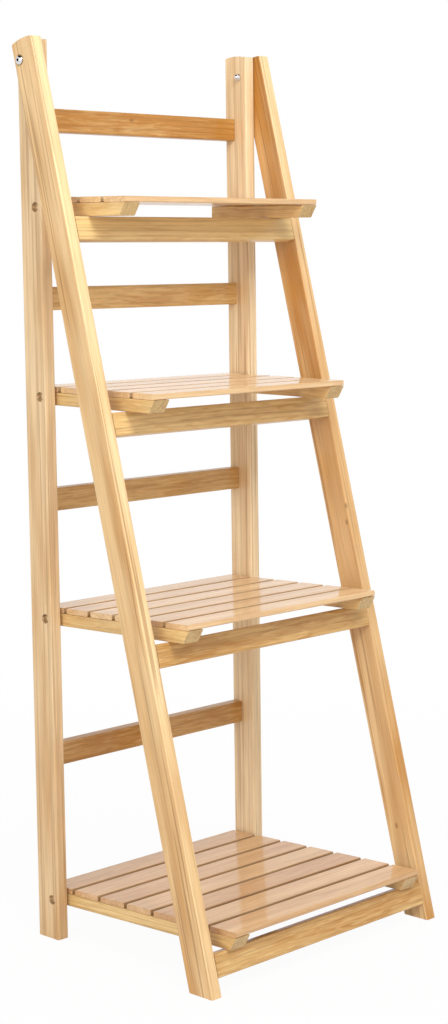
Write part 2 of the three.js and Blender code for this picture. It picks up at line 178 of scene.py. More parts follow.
@dataclass(frozen=True)
class PineFinish:
    """Slow-grown softwood, planed, sanded and clear-varnished.

    The eye sees pale early wood between darker late-wood lines, a fine fibre along the board and a
    thin gloss over all of it.  The pattern is a log: rings round an axis that lies beside each
    board, cut by the board's faces, so the lines on a face meet those on its neighbour.
    """

    name: str
    honey: str  # the darkest boards
    pale: str  # the lightest boards
    late: str  # the dark lines of late wood
    ring: float = 5.0  # millimetres between growth rings
    ring_depth: float = 0.6
    drift: float = 0.5  # how far one board's colour wanders
    streak: float = 0.3  # thin pitch streaks along the board
    fleck_and_shimmer: float = 0.0  # curled flecks of flat-sawn rails, partly the varnish's shimmer painted as colour
    end: float = 0.6  # how light the cut ends are
    edge: float = 1.0  # how light the narrow long edges are; below 1 it is painted shade, as on the slats' edges in the gaps
    roughness: float = 0.5
    coat: float = 0.4
    coat_roughness: float = 0.09
    knots: tuple[tuple[float, float, float], ...] = ()  # pin knots, in grain millimetres

    def build(self) -> Material:
        """Builds the material.

        Returns:
            The node material, which reads each board's own grain coordinates.
        """
        material = bpy.data.materials.new(self.name)
        material.use_nodes = True
        tree = material.node_tree
        tree.nodes.clear()
        grain = add(tree, MARK, attribute_name="grain").outputs["Vector"]
        place = add(tree, VECTORS, {0: grain, "Scale": 1 / MM}, operation="SCALE")
        noise = {}
        for name, (along, across, settings) in PINE_WAVES.items():
            scale = (1 / along, 1 / across, 1 / across)
            waves = add(tree, "ShaderNodeMapping", {0: place, 3: scale})
            noise[name] = add(
                tree, "ShaderNodeTexNoise", {"Vector": waves, "Scale": 1.0, **settings}
            )
        fibre = noise["fibre"]
        colour = linear(self.honey)
        for share, other in (
            (self._tone(tree, noise), self.pale),
            (self._lines(tree, place, noise), self.late),
        ):
            mixed = {0: share, 6: colour, 7: linear(other)}
            colour = add(tree, MIX, mixed, data_type="RGBA").outputs[2]
        level = add(tree, RANGE, (fibre, *FIBRE_RANGE, *FIBRE_LEVEL))
        # The cut ends are darker end grain; the narrow edges' share is painted shade where it is
        # below 1, as in the slats' gaps.
        for name, share in (("end", self.end), ("edge", self.edge)):
            marked = add(tree, MARK, attribute_name=name).outputs["Fac"]
            dimmed = add(tree, RANGE, {0: marked, 3: 1.0, 4: share})
            level = add(tree, MATH, (level, dimmed), operation="MULTIPLY")
        colour = self._with_knots(tree, place, colour)
        colour = add(tree, VECTORS, {0: colour, "Scale": level}, operation="SCALE")
        dull, shiny = self.roughness + FIBRE_GLOSS, self.roughness - FIBRE_GLOSS
        gloss = add(tree, RANGE, (fibre, *FIBRE_RANGE, dull, shiny))
        bump = add(
            tree, "ShaderNodeBump", {"Strength": 0.25, "Distance": FIBRE_HEIGHT, "Height": fibre}
        )
        shader = add(
            tree,
            "ShaderNodeBsdfPrincipled",
            {
                "Base Color": colour,
                "Roughness": gloss,
                "IOR": 1.5,
                "Specular IOR Level": 0.2,
                "Coat Weight": self.coat,
                "Coat Roughness": self.coat_roughness,
                "Normal": bump,
            },
        )
        add(tree, "ShaderNodeOutputMaterial", (shader,))
        return material

    def _lines(self, tree: NodeTree, place: Node, noise: dict[str, Node]) -> Node:
        """Draws the growth rings and the streaks of pitch.

        Args:
            tree: The material's tree.
            place: The spot in the log, in millimetres.
            noise: The noise nodes of PINE_WAVES.

        Returns:
            How much late wood shows, from 0 to 1.
        """
        wander = noise["wander"].outputs["Color"]
        pushed = add(tree, VECTORS, (wander, (0.5,) * 3), operation="SUBTRACT")
        bend = (pushed, (0.0, STRAY, STRAY), place)
        bent = add(tree, VECTORS, bend, operation="MULTIPLY_ADD")
        flat = add(tree, VECTORS, (bent, (0.0, 1.0, 1.0)), operation="MULTIPLY")
        radius = add(tree, VECTORS, (flat,), operation="LENGTH").outputs["Value"]
        count = add(tree, MATH, (radius, self.ring), operation="DIVIDE")
        phase = add(tree, MATH, (count,), operation="FRACT")
        year = add(tree, MATH, (count,), operation="FLOOR")
        line = add(tree, "ShaderNodeValToRGB", (phase,))
        fill_ramp(line, RING_PROFILE)
        vigour = add(
            tree, "ShaderNodeTexWhiteNoise", {"W": year}, noise_dimensions="1D"
        ).outputs["Value"]
        vigour = add(tree, MATH, (vigour, YEAR_CONTRAST), operation="POWER")
        faint = self.ring_depth * FAINTEST_RING
        strength = add(tree, RANGE, (vigour, 0.0, 1.0, faint, self.ring_depth))
        rings = add(tree, MATH, (line, strength), operation="MULTIPLY")
        streaks = add(tree, RANGE, (noise["reed"], *PITCH_RANGE, 0.0, self.streak))
        return add(tree, MATH, (rings, streaks), operation="MAXIMUM")

    def _tone(self, tree: NodeTree, noise: dict[str, Node]) -> Node:
        """Adds up a board's own tone, its face's, slow clouds and flecks, the flecks partly a
        painted shimmer.

        Args:
            tree: The material's tree.
            noise: The noise nodes of PINE_WAVES.

        Returns:
            How pale the wood is, from 0 to 1.
        """
        low, high = -0.5 * self.drift, 0.5 * self.drift
        shift = add(tree, RANGE, (noise["cloud"], *CLOUD_RANGE, low, high))
        figure_and_shimmer = add(tree, RANGE, (noise["curl"], *CURL_RANGE, -self.fleck_and_shimmer, self.fleck_and_shimmer))
        board, edge, flank = (
            add(tree, MARK, attribute_name=name).outputs["Fac"]
            for name in ("board", "edge", "flank")
        )
        tone = add(tree, MATH, (board, shift), operation="ADD")
        tone = add(tree, MATH, (edge, flank, tone), operation="MULTIPLY_ADD")
        return add(tree, MATH, (tone, figure_and_shimmer), operation="ADD", use_clamp=True)

    def _with_knots(self, tree: NodeTree, place: Node, colour: NodeSocket) -> NodeSocket:
        """Darkens the pin knots.

        Args:
            tree: The material's tree.
            place: The spot in the log, in millimetres.
            colour: The colour of the wood round the knots.

        Returns:
            The colour with the knots in it.
        """
        for knot in self.knots:
            beside = add(tree, VECTORS, (place, knot), operation="SUBTRACT")
            oval = add(tree, VECTORS, (beside, KNOT_SQUEEZE), operation="MULTIPLY")
            away = add(tree, VECTORS, (oval,), operation="LENGTH").outputs["Value"]
            dark = add(tree, RANGE, (away, KNOT_HEART, KNOT_RIM, KNOT_DEPTH, 0.0))
            mixed = {0: dark, 6: colour, 7: linear(KNOT_COLOUR)}
            colour = add(tree, MIX, mixed, data_type="RGBA").outputs[2]
        return colour


SOCKET_SHADE = "#1c1712"  # painted shade: the near-black inside the bolt's hex socket, standing in for its shadow and for the dark room that a polished dome mirrors


@dataclass(frozen=True)
class MetalFinish:
    """Fastener steel, plain or chromed, with painted shade where a piece is marked: the inside of a
    hex socket is painted near-black.

    Chrome is a mirror with hardly any colour; passivated steel is dull, warm and a little blotched.
    """

    name: str
    colour: str
    stain: str
    roughness: float
    spread: float  # how much the roughness varies
    blotch: float = 2.0  # millimetres across one stain

    def build(self) -> Material:
        """Builds the material.

        Returns:
            The node material.
        """
        material = bpy.data.materials.new(self.name)
        material.use_nodes = True
        tree = material.node_tree
        tree.nodes.clear()
        place = add(tree, "ShaderNodeTexCoord").outputs["Object"]
        cloud = add(
            tree,
            "ShaderNodeTexNoise",
            {"Vector": place, "Scale": 1 / (self.blotch * MM), "Detail": 3.0},
        ).outputs["Fac"]
        # Faces marked here are painted near-black: painted shade inside the hex socket.
        socket_shade = add(tree, MARK, attribute_name="socket_shade").outputs["Fac"]
        colour = linear(self.colour)
        for share, other in ((cloud, self.stain), (socket_shade, SOCKET_SHADE)):
            mixed = {0: share, 6: colour, 7: linear(other)}
            colour = add(tree, MIX, mixed, data_type="RGBA").outputs[2]
        smooth, dull = self.roughness - self.spread, self.roughness + self.spread
        rough = add(tree, RANGE, {0: cloud, 3: smooth, 4: dull})
        shader = add(
            tree,
            "ShaderNodeBsdfPrincipled",
            {"Base Color": colour, "Metallic": 1.0, "Roughness": rough},
        )
        add(tree, "ShaderNodeOutputMaterial", (shader,))
        return material


class Finish(Enum):
    """The finishes of the stand, each built as its own material."""

    FRAME = PineFinish(
        "varnished_pine_posts", "#cc9d66", "#f8ddb2", "#97632f",
        ring=8.5, ring_depth=0.4, streak=0.42,
    )
    LEG = PineFinish(
        "varnished_pine_legs", "#c0843a", "#f5d4a0", "#8c5826",
        # edge=1.05 makes the legs' narrow faces a little lighter, partly painted light on their lit
        # fronts.
        ring=8.5, ring_depth=0.42, streak=0.48, edge=1.05,
        knots=((8110.6, 11.3, -192.4), (8090.5, 15.0, -192.4), (7711.0, 30.0, -192.4)),
    )
    RAIL = PineFinish(
        "varnished_pine_rails", "#bb823c", "#ecc88a", "#8f5a24",
        ring=6.5, ring_depth=0.35, drift=0.4, streak=0.25, fleck_and_shimmer=0.22, end=0.82,
        knots=((5945.5, -17.6, 51.7),),
    )
    SLAT = PineFinish(
        "varnished_pine_slats", "#cf9c69", "#f7d09c", "#a8713f",
        # edge=0.55 is painted shade on the slats' edges, where the gaps between them are in shade.
        ring=6.0, ring_depth=0.3, drift=0.35, streak=0.25, fleck_and_shimmer=0.1, end=0.95, edge=0.55,
        coat=0.7, knots=((2927.1, 0.5, 42.3),),
    )
    CHROME = MetalFinish("chromed_steel", "#e3e3e6", "#d8d8dc", 0.06, 0.02)
    STEEL = MetalFinish("yellow_passivated_steel", "#e6cda6", "#c9a878", 0.5, 0.08)


class Paints:
    """Keeps one built material for each finish."""

    def __init__(self) -> None:
        """Starts with nothing built."""
        self._made: dict[Finish, Material] = {}

    def get(self, finish: Finish) -> Material:
        """Gives a finish's material, built at its first use.

        Args:
            finish: Which finish.

        Returns:
            Its material.
        """
        if finish not in self._made:
            self._made[finish] = finish.value.build()
        return self._made[finish]


# -------------------- board meshes


class Run(Enum):
    """Which way a board's grain runs in the frame of its sub-assembly."""

    UPRIGHT = ((0, 0, 1), (0, 1, 0), (-1, 0, 0))
    FORWARD = ((0, 1, 0), (-1, 0, 0), (0, 0, 1))


# Where in a log a board may be sawn, in metres: along it, to the side of its heart, out from it
LOG_LOW = (1.0, -0.02, 0.035)
LOG_HIGH = (9.0, 0.02, 0.09)


def log_place(run: Run, seed: int) -> Vector:
    """Picks where in its log a board was sawn.

    Args:
        run: Which way the board lies; uprights have the log's heart before them, others below.
        seed: The board's own number.

    Returns:
        An offset from the log's axis in metres.
    """
    pick = random.Random(seed)
    along, near, far = (pick.uniform(low, high) for low, high in zip(LOG_LOW, LOG_HIGH))
    return Vector((along, far, near) if run is Run.UPRIGHT else (along, near, far))


EASED_STRIP = 1.9 * MM  # facets of an eased edge are narrower than this
SAME_FACE = math.cos(math.radians(12))
SAME_EDGE = math.cos(math.radians(50))


def eased_normals(mesh: Mesh) -> None:
    """Shades narrow eased facets round, and leaves the faces between them flat.

    Args:
        mesh: A finished mesh in metres.
    """
    faces = len(mesh.polygons)
    normal = np.zeros(faces * 3)
    area = np.zeros(faces)
    mesh.polygons.foreach_get("normal", normal)
    mesh.polygons.foreach_get("area", area)
    normal = normal.reshape(-1, 3)
    spot = np.array([v.co for v in mesh.vertices]).reshape(-1, 3)
    groups: dict[tuple, list[int]] = {}
    for face in mesh.polygons:
        offset = float(normal[face.index] @ spot[face.vertices[0]])
        key = (*np.round(normal[face.index], 2), round(offset / MM, 1))
        groups.setdefault(key, []).append(face.index)
    flat = np.zeros(faces, bool)
    for members in groups.values():
        corners = spot[[v for f in members for v in mesh.polygons[f].vertices]]
        reach = float(np.linalg.norm(corners.max(0) - corners.min(0)))
        flat[members] = area[members].sum() / max(reach, 1e-9) > EASED_STRIP
    around: list[list[int]] = [[] for _ in mesh.vertices]
    for face in mesh.polygons:
        for v in face.vertices:
            around[v].append(face.index)
    out = []
    for face in mesh.polygons:
        own = normal[face.index]
        for v in face.vertices:
            beside = around[v]
            flats = [g for g in beside if flat[g]]
            if flat[face.index]:
                chosen = [g for g in flats if own @ normal[g] > SAME_FACE]
            else:
                chosen = [g for g in flats if own @ normal[g] > SAME_EDGE]
                chosen = chosen or [g for g in beside if own @ normal[g] > SAME_EDGE]
            total = (normal[chosen] * area[chosen][:, None]).sum(0)
            if not flat[face.index] and not any(flat[g] for g in chosen):
                total = normal[chosen].sum(0)
            out.append(total / max(np.linalg.norm(total), 1e-12))
    mesh.shade_smooth()
    mesh.normals_split_custom_set([tuple(n) for n in out])


END_FACING = 0.35  # a face is an end when its normal runs this much along the board
EDGE_FACING = 0.8  # and a narrow edge when it runs this much across it


def mark_board(mesh: Mesh, to_board: Matrix, offset: Vector, tones: tuple[float, ...]) -> None:
    """Writes a board's grain coordinates, tone and end faces into its mesh.

    Args:
        mesh: The board's mesh.
        to_board: Turns the mesh's coordinates into ones whose x runs along the grain.
        offset: Where in its log the board was sawn.
        tones: How pale the wide faces are at the board's low and high end, then the narrow faces.
    """
    spots = [to_board @ v.co for v in mesh.vertices]
    grain = mesh.attributes.new("grain", "FLOAT_VECTOR", "POINT")
    grain.data.foreach_set("vector", [c for spot in spots for c in spot + offset])
    board = mesh.attributes.new("board", "FLOAT", "POINT")
    along = [spot.x for spot in spots]
    ends = (min(along), max(along))
    wide, narrow = np.interp(along, ends, tones[:2]), np.interp(along, ends, tones[-2:])
    board.data.foreach_set("value", wide)
    flank = mesh.attributes.new("flank", "FLOAT", "POINT")
    flank.data.foreach_set("value", narrow - wide)
    turn = to_board.to_3x3()
    facing = [turn @ p.normal for p in mesh.polygons]
    end = mesh.attributes.new("end", "FLOAT", "FACE")
    end.data.foreach_set("value", [float(abs(way.x) > END_FACING) for way in facing])
    edge = mesh.attributes.new("edge", "FLOAT", "FACE")
    edge.data.foreach_set("value", [float(abs(way.y) > EDGE_FACING) for way in facing])


# -------------------- fasteners


def hexagon(across_flats: float) -> Callable[[float], float]:
    """Gives a hexagon's outline.

    Args:
        across_flats: Its width across flats.

    Returns:
        A function from an angle to the outline's distance from the centre.
    """
    sixth = math.pi / 3
    return lambda angle: across_flats / 2 / math.cos((angle + sixth / 2) % sixth - sixth / 2)


def circle(radius: float) -> Callable[[float], float]:
    """Gives a circle's outline, in the same form as a hexagon's.

    Args:
        radius: Its radius.

    Returns:
        A function from an angle to the outline's distance from the centre.
    """
    return lambda angle: radius


LOOP_CORNERS = 48
SHARP_ANGLE = math.radians(38)


def lofted(
    name: str,
    loops: list[tuple[Callable[[float], float], float]],
    place: Matrix,
    shade_from: float = 1.0,
) -> Mesh:
    """Skins a fastener over loops along its axis and closes both ends.

    Args:
        name: The mesh's name.
        loops: Outline and distance along the axis, from the tip to the crown.
        place: Where the fastener's axis lies; its own axis is z.
        shade_from: From which share of the loops on the skin is painted dark, as shade inside the
            socket.

    Returns:
        The mesh.
    """
    shell = bmesh.new()
    rings = [
        [
            shell.verts.new((outline(a) * math.cos(a), outline(a) * math.sin(a), along))
            for a in (math.tau * i / LOOP_CORNERS for i in range(LOOP_CORNERS))
        ]
        for outline, along in loops
    ]
    # The socket's walls and floor are marked for painted shade.
    socket_shade = shell.faces.layers.float.new("socket_shade")
    for k, (low, high) in enumerate(zip(rings, rings[1:])):
        for i in range(LOOP_CORNERS):
            j = (i + 1) % LOOP_CORNERS
            face = shell.faces.new((low[i], low[j], high[j], high[i]))
            face[socket_shade] = float(k / (len(rings) - 1) >= shade_from)
    shell.faces.new(rings[0][::-1])
    cap = shell.faces.new(rings[-1])
    cap[socket_shade] = float(shade_from < 1.0)
    bmesh.ops.recalc_face_normals(shell, faces=shell.faces)
    mesh = bpy.data.meshes.new(name)
    shell.to_mesh(mesh)
    shell.free()
    mesh.shade_smooth()
    mesh.set_sharp_from_angle(angle=SHARP_ANGLE)
    mesh.transform(place)
    return mesh


@dataclass(frozen=True)
class HingeBolt:
    """A domed bolt with a hexagon socket, and the domed nut on its thread, in metres."""

    shank: float = 2.5 * MM  # radius
    head: float = 5.5 * MM  # radius
    rim: float = 1.2 * MM
    dome: float = 3.2 * MM
    dome_turns: tuple[float, ...] = (12, 24, 36, 48, 58, 66)  # degrees up the dome
    socket: float = 3.4 * MM  # across flats
    socket_depth: float = 1.8 * MM
    socket_share: float = 0.88  # the skin's loops past this share are inside the socket and get painted shade
    nut: float = 8 * MM  # across flats
    nut_height: float = 3.2 * MM
    nut_chamfer: float = 0.5 * MM
    nut_shoulder: float = 7.3 * MM  # across flats, above the chamfer
    cap: float = 3.4 * MM  # radius of the nut's dome
    cap_turns: tuple[float, ...] = (15, 30, 45, 60, 75)
    cap_tip: float = 0.1 * MM

    def bolt_mesh(self, name: str, foot: float, seat: float, place: Matrix) -> Mesh:
        """Shapes the bolt.

        Args:
            name: The mesh's name.
            foot: Where along its axis the shank starts.
            seat: Where the head starts.
            place: Where the axis lies.

        Returns:
            The mesh.
        """
        crown = seat + self.rim
        loops = [(circle(self.shank), foot), (circle(self.shank), seat)]
        loops += [(circle(self.head), seat), (circle(self.head), crown)]
        for turn in map(math.radians, self.dome_turns):
            loops.append((circle(self.head * math.cos(turn)), crown + self.dome * math.sin(turn)))
        brink = loops[-1][1]
        loops += [(hexagon(self.socket), brink), (hexagon(self.socket), brink - self.socket_depth)]
        return lofted(name, loops, place, self.socket_share)

    def nut_mesh(self, name: str, place: Matrix) -> Mesh:
        """Shapes the nut.

        Args:
            name: The mesh's name.
            place: Where its axis lies, with its seat at the origin.

        Returns:
            The mesh.
        """
        top = self.nut_height
        loops = [(hexagon(self.nut), 0.0), (hexagon(self.nut), top - self.nut_chamfer)]
        loops += [(hexagon(self.nut_shoulder), top), (circle(self.cap), top)]
        for turn in map(math.radians, self.cap_turns):
            loops.append((circle(self.cap * math.cos(turn)), top + self.cap * math.sin(turn)))
        loops.append((circle(self.cap_tip), top + self.cap))
        return lofted(name, loops, place)


# -------------------- geometry trees


def start_tree(
    name: str, inputs: dict[str, str | float | int]
) -> tuple[GeometryNodeTree, bpy_prop_collection]:
    """Starts a geometry tree with named inputs and one geometry output.

    Args:
        name: The tree's name.
        inputs: Input name, with a start value, or a socket type that has none.

    Returns:
        The tree and the sockets that give its inputs.
    """
    tree = bpy.data.node_groups.new(name, "GeometryNodeTree")
    for label, value in inputs.items():
        kind = {int: "NodeSocketInt", float: "NodeSocketFloat"}.get(type(value), value)
        socket = tree.interface.new_socket(label, in_out="INPUT", socket_type=kind)
        if kind is not value:
            socket.default_value = value
    tree.interface.new_socket("Geometry", in_out="OUTPUT", socket_type="NodeSocketGeometry")
    return tree, tree.nodes.new("NodeGroupInput").outputs


BAR_END_FACING = 0.8
BAR_EDGE_FACING = (0.3, 0.75)  # an eased corner turns from face to edge between these
TENON_EASE = 0.3 * MM


def eased_bar_tree() -> GeometryNodeTree:
    """A board with eased long edges, lying along x, with its grain and end faces marked.

    Returns:
        A tree that other trees use as one node.
    """
    tree, given = start_tree(
        "eased_bar",
        {"Length": 0.3, "Width": 0.03, "Thickness": 0.015, "Ease": 0.0015, "Ease Steps": 4},
    )
    section = add(
        tree,
        "GeometryNodeCurvePrimitiveQuadrilateral",
        {"Width": given["Width"], "Height": given["Thickness"]},
    )
    eased = add(
        tree,
        "GeometryNodeFilletCurve",
        {0: section, "Count": given["Ease Steps"], "Radius": given["Ease"]},
        mode="POLY",
    )
    half = add(tree, MATH, (given["Length"], 0.5), operation="MULTIPLY")
    back = add(tree, MATH, (half, -1.0), operation="MULTIPLY")
    start = add(tree, "ShaderNodeCombineXYZ", (back,))
    stop = add(tree, "ShaderNodeCombineXYZ", (half,))
    line = add(tree, "GeometryNodeCurvePrimitiveLine", {"Start": start, "End": stop})
    bar = add(
        tree, "GeometryNodeCurveToMesh", {"Curve": line, "Profile Curve": eased, "Fill Caps": True}
    )
    normal = add(tree, "GeometryNodeInputNormal")
    along = add(tree, "ShaderNodeSeparateXYZ", (normal,))
    facing = add(tree, MATH, (along,), operation="ABSOLUTE")
    is_end = add(tree, MATH, (facing, BAR_END_FACING), operation="GREATER_THAN")
    aside = add(tree, MATH, (along.outputs[1],), operation="ABSOLUTE")
    narrow = add(tree, RANGE, (aside, *BAR_EDGE_FACING))
    where = add(tree, "GeometryNodeInputPosition")
    for name, value, kind, domain in (
        ("end", is_end, "FLOAT", "FACE"),
        ("edge", narrow, "FLOAT", "FACE"),
        ("grain", where, "FLOAT_VECTOR", "POINT"),
    ):
        sockets = {"Geometry": bar, "Name": name, "Value": value}
        bar = add(tree, STORE, sockets, data_type=kind, domain=domain)
    add(tree, "NodeGroupOutput", (bar,))
    return tree


def finish_boards(
    tree: GeometryNodeTree, given: bpy_prop_collection, board: Node, points: Node
) -> None:
    """Ends a tree: a board on every point, each sawn from its own place in the log.

    Args:
        tree: The tree to end.
        given: The sockets of its inputs, with Seed and Finish among them.
        board: The board's geometry.
        points: Where the boards go.
    """
    boards = add(tree, "GeometryNodeInstanceOnPoints", {"Points": points, "Instance": board})
    number = add(tree, "GeometryNodeInputIndex")
    limits = {"Min": LOG_LOW, "Max": LOG_HIGH, "ID": number, "Seed": given["Seed"]}
    kind = "FLOAT_VECTOR"
    sawn = add(tree, "FunctionNodeRandomValue", limits, data_type=kind)
    tone = add(tree, "GeometryNodeInputNamedAttribute", {"Name": "tone"}, data_type="FLOAT")
    for name, value, form in (("log", sawn, kind), ("board", tone, "FLOAT")):
        sockets = {"Geometry": boards, "Name": name, "Value": value}
        boards = add(tree, STORE, sockets, data_type=form, domain="INSTANCE")
    boards = add(tree, "GeometryNodeRealizeInstances", (boards,))
    parts = [
        add(tree, "GeometryNodeInputNamedAttribute", {"Name": name}, data_type=kind)
        for name in ("grain", "log")
    ]
    moved = add(tree, VECTORS, parts, operation="ADD")
    sockets = {"Geometry": boards, "Name": "grain", "Value": moved}
    boards = add(tree, STORE, sockets, data_type=kind, domain="POINT")
    dressed = {"Geometry": boards, "Material": given["Finish"]}
    add(tree, "NodeGroupOutput", (add(tree, "GeometryNodeSetMaterial", dressed),))


def slat_row_tree(bar: GeometryNodeTree) -> GeometryNodeTree:
    """Equal slats from a shelf's rear edge forward, with equal gaps.

    Args:
        bar: The eased board that each slat is.

    Returns:
        The tree; its origin is the rear edge at half the slats' thickness.
    """
    tree, given = start_tree(
        "slat_row",
        {
            "Geometry": "NodeSocketGeometry",
            "Slat Count": 4,
            "Slat Length": 0.316,
            "Slat Width": 0.04,
            "Slat Thickness": 0.0058,
            "Slat Gap": 0.005,
            "Ease": 0.0017,
            "Seed": 1,
            "Finish": "NodeSocketMaterial",
        },
    )
    sizes = [given[f"Slat {name}"] for name in ("Length", "Width", "Thickness")]
    slat = add(tree, "GeometryNodeGroup", (*sizes, given["Ease"]), node_tree=bar)
    half = add(tree, MATH, (given["Slat Width"], -0.5), operation="MULTIPLY")
    both = (given["Slat Width"], given["Slat Gap"])
    pitch = add(tree, MATH, both, operation="ADD")
    step = add(tree, MATH, (pitch, -1.0), operation="MULTIPLY")
    first = add(tree, "ShaderNodeCombineXYZ", {1: half})
    offset = add(tree, "ShaderNodeCombineXYZ", {1: step})
    row = add(
        tree,
        "GeometryNodeMeshLine",
        {"Count": given["Slat Count"], "Start Location": first, "Offset": offset},
        mode="OFFSET",
    )
    finish_boards(tree, given, slat, row)
    return tree


def crossrail_tree(bar: GeometryNodeTree) -> GeometryNodeTree:
    """A tenoned rail on every point of the mesh that carries the modifier.

    Args:
        bar: The eased board that the rail's body and tenons are.

    Returns:
        The tree.
    """
    tree, given = start_tree(
        "crossrails",
        {
            "Geometry": "NodeSocketGeometry",
            "Shoulder Length": 0.3,
            "Rail Thickness": 0.015,
            "Rail Height": 0.027,
            "Ease": 0.0015,
            "Tenon Length": 0.01,
            "Tenon Shoulder": 0.0035,
            "Seed": 1,
            "Finish": "NodeSocketMaterial",
        },
    )
    sizes = [given[name] for name in ("Shoulder Length", "Rail Thickness", "Rail Height")]
    body = add(tree, "GeometryNodeGroup", (*sizes, given["Ease"]), node_tree=bar)
    changes = (("Tenon Length", 2.0), ("Tenon Shoulder", -2.0), ("Tenon Shoulder", -2.0))
    ends = [
        add(tree, MATH, (given[name], factor, size), operation="MULTIPLY_ADD")
        for size, (name, factor) in zip(sizes, changes)
    ]
    tenon = add(tree, "GeometryNodeGroup", (*ends, TENON_EASE), node_tree=bar)
    both = add(tree, "GeometryNodeJoinGeometry", (body,))
    tree.links.new(tenon.outputs[0], both.inputs[0])
    points = add(tree, "GeometryNodeMeshToPoints", {"Mesh": given["Geometry"]})
    finish_boards(tree, given, both, points)
    return tree


def grow(
    name: str,
    points: list[tuple[float, float, float]],
    tree: GeometryNodeTree,
    values: dict[str, object],
    tones: tuple[float, ...] = (),
) -> Mesh:
    """Runs a tree over a few points and keeps the result as a plain mesh.

    Args:
        name: The mesh's name.
        points: The vertices of the mesh that carries the modifier.
        tree: The tree to run.
        values: The tree's inputs by name.
        tones: How pale the board at each point is, where that isn't set later.

    Returns:
        The mesh.
    """
    seedbed = bpy.data.meshes.new(f"{name}_points")
    seedbed.from_pydata(points, [], [])
    if tones:
        seedbed.attributes.new("tone", "FLOAT", "POINT").data.foreach_set("value", tones)
    holder = bpy.data.objects.new(f"{name}_holder", seedbed)
    bpy.context.scene.collection.objects.link(holder)
    modifier = holder.modifiers.new("grow", "NODES")
    modifier.node_group = tree
    for socket in tree.interface.items_tree:
        if socket.item_type == "SOCKET" and socket.in_out == "INPUT" and socket.name in values:
            modifier[socket.identifier] = values[socket.name]
    evaluated = holder.evaluated_get(bpy.context.evaluated_depsgraph_get())
    mesh = bpy.data.meshes.new_from_object(evaluated)
    mesh.name = name
    bpy.data.objects.remove(holder)
    bpy.data.meshes.remove(seedbed)
    return mesh


# -------------------- sub-assemblies


SIDES = ("left", "right")
LEVELS = 4
HINGE = (0.0, 133.16036 * MM, 1034 * MM)  # the middle of the bolts' axis
JOINT_GAP = 0.3 * MM  # between a rail's shoulder and the upright
RAIL_HEIGHT = 27.2 * MM
MERGE = 0.002 * MM  # corners nearer than this are one
SLIVER = 0.001 * MM


@dataclass
class Assembly:
    """What the sub-assemblies share: a body, its resting place and the paints."""

    paints: Paints
    nodes: dict[str, Object]
    body: str

    def place(self) -> Matrix:
        """Places this sub-assembly's own frame.

        Returns:
            Its place in the stand's frame.
        """
        return Matrix.Identity(4)

    def show(self, name: str, mesh: Mesh, finish: Finish, nodes: list[str]) -> Object:
        """Makes a finished mesh a piece that rides on this body in place of CAD nodes.

        Args:
            name: The piece's name.
            mesh: Its mesh, in the stand's frame.
            finish: Its finish.
            nodes: The CAD nodes that it stands for.

        Returns:
            The piece.
        """
        mesh.materials.clear()
        mesh.materials.append(self.paints.get(finish))
        piece = bpy.data.objects.new(name, mesh)
        bpy.context.scene.collection.objects.link(piece)
        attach(piece, self.body)
        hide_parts(*nodes)
        LOG.info("%s: %d faces on %s", name, len(mesh.polygons), self.body)
        return piece

    def board(
        self, name: str, node: str, run: Run, finish: Finish, seed: int, tones: tuple[float, ...]
    ) -> None:
        """Copies a CAD board, rounds its shading and marks its grain.

        Args:
            name: The piece's name.
            node: The CAD node.
            run: Which way the grain runs in this sub-assembly's frame.
            finish: The board's finish.
            seed: The board's own number.
            tones: How pale its wide faces are at the low and high end, then its narrow faces.
        """
        mesh = self.nodes[node].data.copy()
        shell = bmesh.new()
        shell.from_mesh(mesh)
        bmesh.ops.remove_doubles(shell, verts=shell.verts, dist=MERGE)
        bmesh.ops.dissolve_degenerate(shell, edges=shell.edges, dist=SLIVER)
        shell.to_mesh(mesh)
        shell.free()
        turn = Matrix(run.value).to_4x4()
        mark_board(mesh, turn @ self.place().inverted(), log_place(run, seed), tones)
        eased_normals(mesh)
        self.show(name, mesh, finish, [node])

    def dress(self, nodes: list[str], finish: Finish) -> None:
        """Gives CAD nodes that stay as they are their finish.

        Args:
            nodes: The nodes.
            finish: The finish.
        """
        for name in nodes:
            mesh = self.nodes[name].data
            mesh.materials.clear()
            mesh.materials.append(self.paints.get(finish))
            LOG.info("%s keeps its solid", name)


@dataclass
class RailedFrame(Assembly):
    """Two uprights joined by tenoned rails."""

    rails: GeometryNodeTree = None
    inner_half: float = 0.0
    rail_thickness: float = 0.0
    rail_tones: tuple[float, ...] = ()
    rail_seed: int = 0
    upright_seed: int = 0

    def grow_rails(self, kind: str, points: list[tuple[float, float, float]]) -> None:
        """Grows a rail on each point.

        Args:
            kind: What the CAD nodes are called before their numbers.
            points: The rails' middles in this sub-assembly's own frame.
        """
        sizes = {
            "Shoulder Length": 2 * (self.inner_half - JOINT_GAP),
            "Rail Thickness": self.rail_thickness,
            "Rail Height": RAIL_HEIGHT,
            "Seed": self.rail_seed,
            "Finish": self.paints.get(Finish.RAIL),
        }
        mesh = grow(f"{kind}s", points, self.rails, sizes, self.rail_tones)
        mesh.transform(self.place())
        eased_normals(mesh)
        nodes = [f"{kind}_{i + 1}" for i in range(len(points))]
        self.show(f"{kind}s", mesh, Finish.RAIL, nodes)


